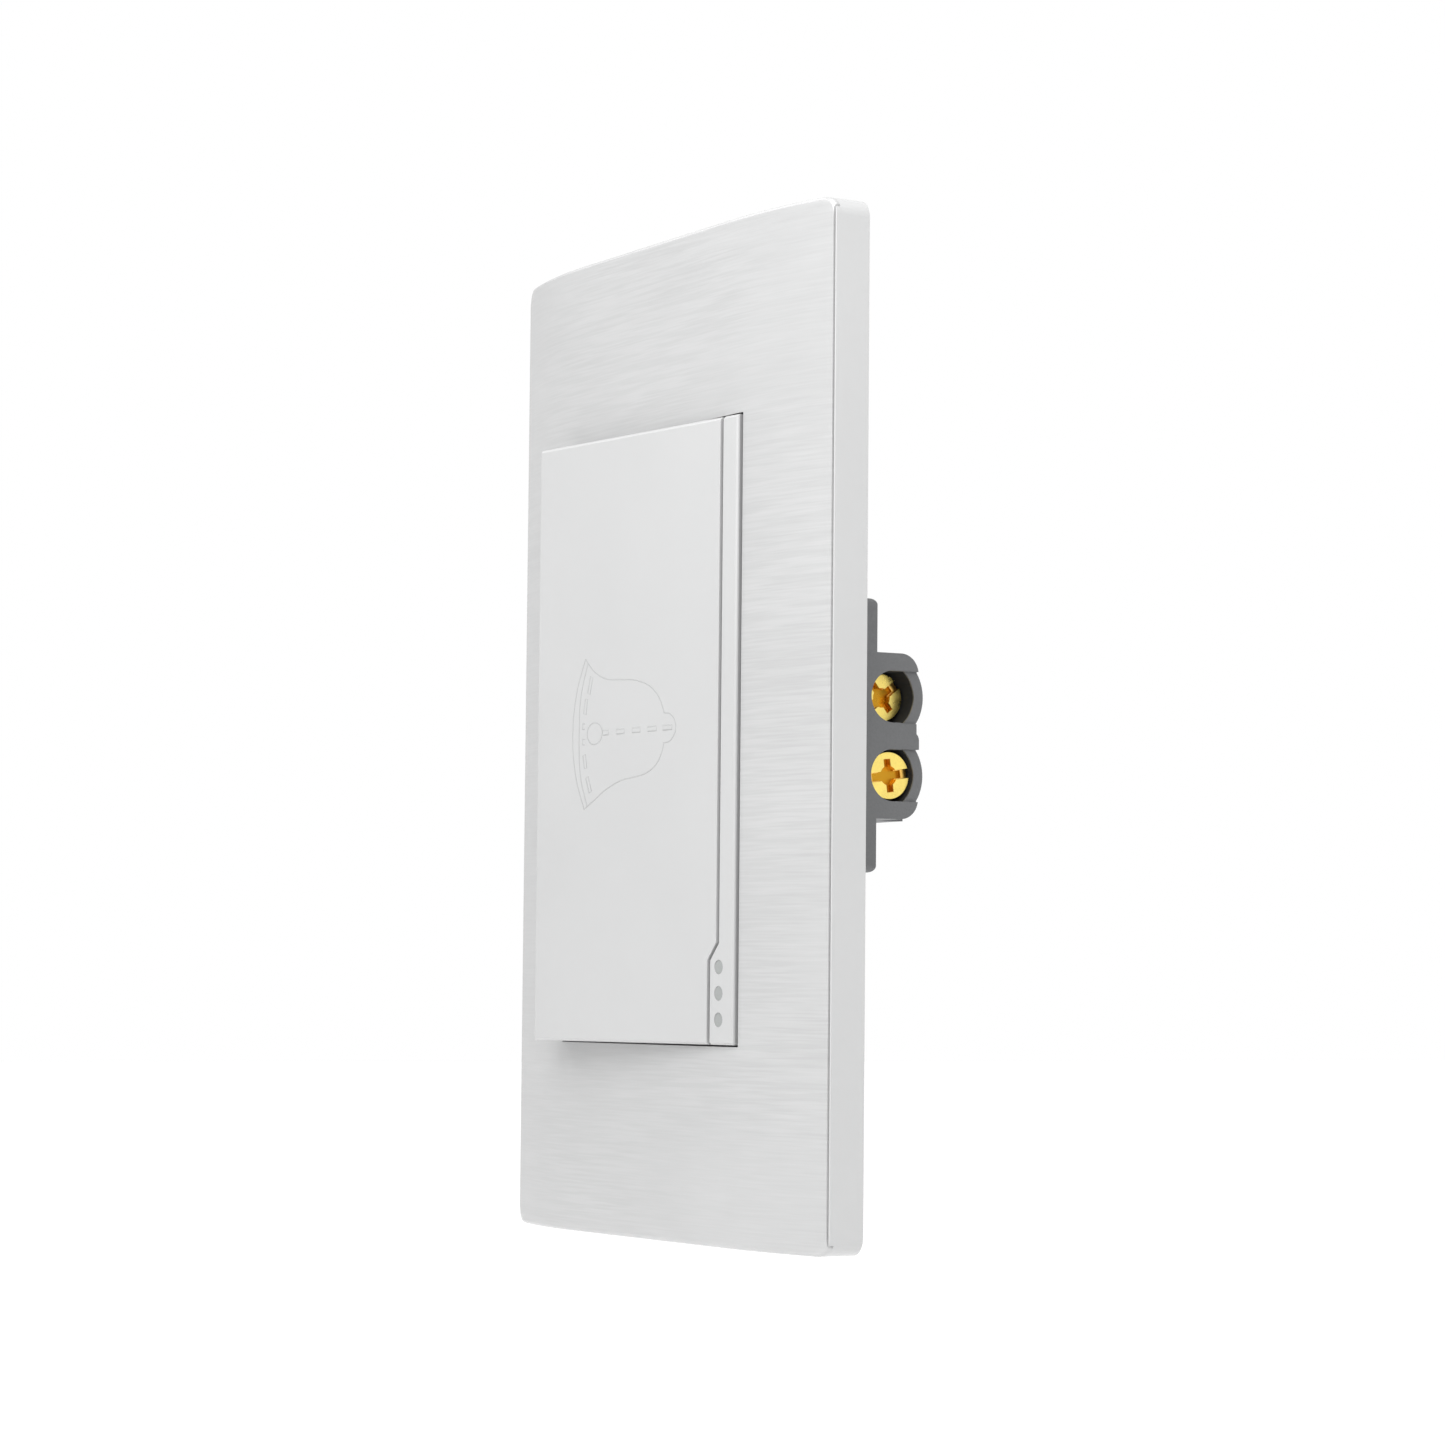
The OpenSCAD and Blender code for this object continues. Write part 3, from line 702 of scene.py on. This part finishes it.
def spring(side, sign):
    """A closed-end compression spring along Y, above or below the middle by its sign."""
    steps = 28
    sides = 10
    rings = SPRING_TURNS * steps
    span = SPRING_LOW - SPRING_HIGH - 2 * SPRING_WIRE_R
    dead = SPRING_DEAD_TURNS
    vertices = []
    for i in range(rings + 1):
        turns = i / steps
        rise = min(max((turns - dead) / (SPRING_TURNS - 2 * dead), 0), 1)
        flat = 2 * SPRING_WIRE_R / span
        low_rise = min(turns / dead, 1) * flat
        high_rise = max((turns - SPRING_TURNS + dead) / dead, 0) * flat
        along = low_rise + rise * (1 - 2 * flat) + high_rise
        angle = 2 * math.pi * turns
        for j in range(sides):
            around = 2 * math.pi * j / sides
            reach = SPRING_R + SPRING_WIRE_R * math.cos(around)
            vertices.append(mm(SPRING_X + reach * math.cos(angle),
                               SPRING_HIGH + SPRING_WIRE_R + span * along
                               + SPRING_WIRE_R * math.sin(around),
                               sign * SPRING_Z + reach * math.sin(angle)))
    faces = []
    for i in range(rings):
        for j in range(sides):
            a = i * sides + j
            b = i * sides + (j + 1) % sides
            faces.append((a, b, b + sides, a + sides))
    faces.append(tuple(reversed(range(sides))))
    faces.append(tuple(range(rings * sides, (rings + 1) * sides)))
    obj = new_piece("coil_" + side, vertices, faces, "spring_steel", "wall_unit",
                    ["return_spring_" + side])
    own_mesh(obj)


def contact_blade():
    """The leaf spring, drawn flat from its fixed end to the plunger's near side.
    It is thinner at the front than its CAD solid, so that it clears the plunger's foot."""
    shoulder = BLADE_ROOT - BLADE_NECK
    hair = 0.01
    rows = 4
    columns = spread(BLADE_TIP, shoulder, 24) + spread(shoulder, BLADE_ROOT, 6)[1:]
    columns += spread(BLADE_ROOT, BLADE_END, 4)[1:]
    front = []
    back = []
    for x in columns:
        low = -BLADE_NARROW if x < BLADE_ROOT + hair else BLADE_WIDE[0]
        high = BLADE_NARROW if x < shoulder + hair else BLADE_WIDE[1]
        past = max(BLADE_TIP + BLADE_CORNER_R - x, 0)
        cut = BLADE_CORNER_R - math.sqrt(max(BLADE_CORNER_R ** 2 - past ** 2, 0))
        for z in spread(low + cut, high - cut, rows):
            front.append(mm(x, BLADE_Y, z))
            back.append(mm(x, BLADE_Y + BLADE_T, z))
    faces = []
    for i in range(len(columns) - 1):
        for j in range(rows):
            a = i * (rows + 1) + j
            faces.append((a, a + rows + 1, a + rows + 2, a + 1))
    obj = new_piece("leaf_spring", *shell(front, back, faces), "spring_bronze", None,
                    ["contact_blade"], bevel=0.05)
    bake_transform(obj)


# ---- The object ----

front_panel()
chamfered_ends("rocker_key", "key_cap", "key_satin", 0.1)
chamfered_ends("indicator_strip", "strip_plate", "strip_satin", 0.08)
bell_outline()
spring("upper", 1)
spring("lower", -1)
contact_blade()

dress("surround_frame", "cover_satin", 0.12)
dress("luminous_insert", "glow_grey", 0.03)
dress("mounting_frame", "frame_white", 0.12)
dress("key_carrier", "frame_white", 0.1)
dress("plunger", "plunger_nylon", 0.1)
dress("base_housing", "module_grey", 0.15)
for side in ("upper", "lower"):
    dress("strap_" + side, "strap_steel", 0.12)
    dress("hinge_pin_" + side, "pin_steel", 0.12)
    dress("terminal_cage_" + side, "brass", 0.1)
    dress("terminal_screw_" + side, "screw_brass", 0.06)
    dress("clamp_plate_" + side, "brass", 0.1)
dress("base_screws", "screw_zinc", 0.08)
dress("blade_terminal_strip", "copper", 0.06)
dress("blade_rivet", "brass", 0.08)
dress("moving_contact", "silver_contact", 0.08)
dress("fixed_contact_strip", "copper", 0.06)
dress("fixed_contact", "silver_contact", 0.08)


# ---- Floor, light and camera ----

FLOOR_HALF = 3.0
FLOOR_GAP = 0.04
CAMERA_PLACE = (416.22, -238.37, -29.88)
CAMERA_YAW = math.radians(59.898)
CAMERA_PITCH = math.radians(3.809)
CAMERA_ROLL = math.radians(0.509)
CAMERA_LENS = 100.51


def floor():
    """A pale floor below the object. It glows faintly, so that it meets the background."""
    mesh = bpy.data.meshes.new("floor")
    z = cad_low.z - FLOOR_GAP
    corners = [(x * FLOOR_HALF, y * FLOOR_HALF, z) for x, y in ((-1, -1), (1, -1), (1, 1), (-1, 1))]
    mesh.from_pydata(corners, [], [(0, 1, 2, 3)])
    obj = bpy.data.objects.new("floor", mesh)
    bpy.context.scene.collection.objects.link(obj)
    f = Finish("floor", (0.94, 0.94, 0.94), 0.9)
    f.tint(f.noise((300, 300, 300)), 0.99, 1.0)
    f.set("Emission Color", (1, 1, 1, 1))
    f.set("Emission Strength", 0.15)
    mesh.materials.append(f.material)


def softbox(name, place, size, power):
    """A square light of size metres at a place in metres, aimed at the origin."""
    light = bpy.data.lights.new(name, "AREA")
    light.shape = "RECTANGLE"
    light.size = size
    light.size_y = size
    light.energy = power
    obj = bpy.data.objects.new(name, light)
    obj.location = place
    obj.rotation_euler = (-Vector(place)).to_track_quat("-Z", "Y").to_euler()
    bpy.context.scene.collection.objects.link(obj)


def studio():
    """A white room with three soft lights."""
    world = bpy.data.worlds.new("studio")
    world.use_nodes = True
    background = world.node_tree.nodes["Background"]
    background.inputs["Color"].default_value = (1, 1, 1, 1)
    background.inputs["Strength"].default_value = 1.0
    bpy.context.scene.world = world
    bpy.context.scene.view_settings.view_transform = "Standard"
    softbox("key_light", (0.15, -0.18, 0.17), 0.24, 0.98)
    softbox("left_light", (-0.25, -0.2, 0.3), 0.3, 0.45)
    softbox("top_light", (0.1, 0.0, 0.35), 0.2, 0.5)


def camera():
    """Looks from the front, far to the right of the object and a little upwards."""
    level_reach = math.cos(CAMERA_PITCH)
    forward = Vector((-math.sin(CAMERA_YAW) * level_reach, math.cos(CAMERA_YAW) * level_reach,
                      math.sin(CAMERA_PITCH)))
    level = Vector((math.cos(CAMERA_YAW), math.sin(CAMERA_YAW), 0))
    upright = level.cross(forward)
    right = level * math.cos(CAMERA_ROLL) + upright * math.sin(CAMERA_ROLL)
    up = upright * math.cos(CAMERA_ROLL) - level * math.sin(CAMERA_ROLL)
    data = bpy.data.cameras.new("camera")
    data.sensor_width = 36
    data.lens = CAMERA_LENS
    data.clip_start = 0.01
    obj = bpy.data.objects.new("camera", data)
    turn = Matrix((right, up, -forward)).transposed()
    obj.matrix_world = Matrix.Translation(mm(*CAMERA_PLACE)) @ turn.to_4x4()
    bpy.context.scene.collection.objects.link(obj)
    bpy.context.scene.camera = obj


floor()
studio()
camera()
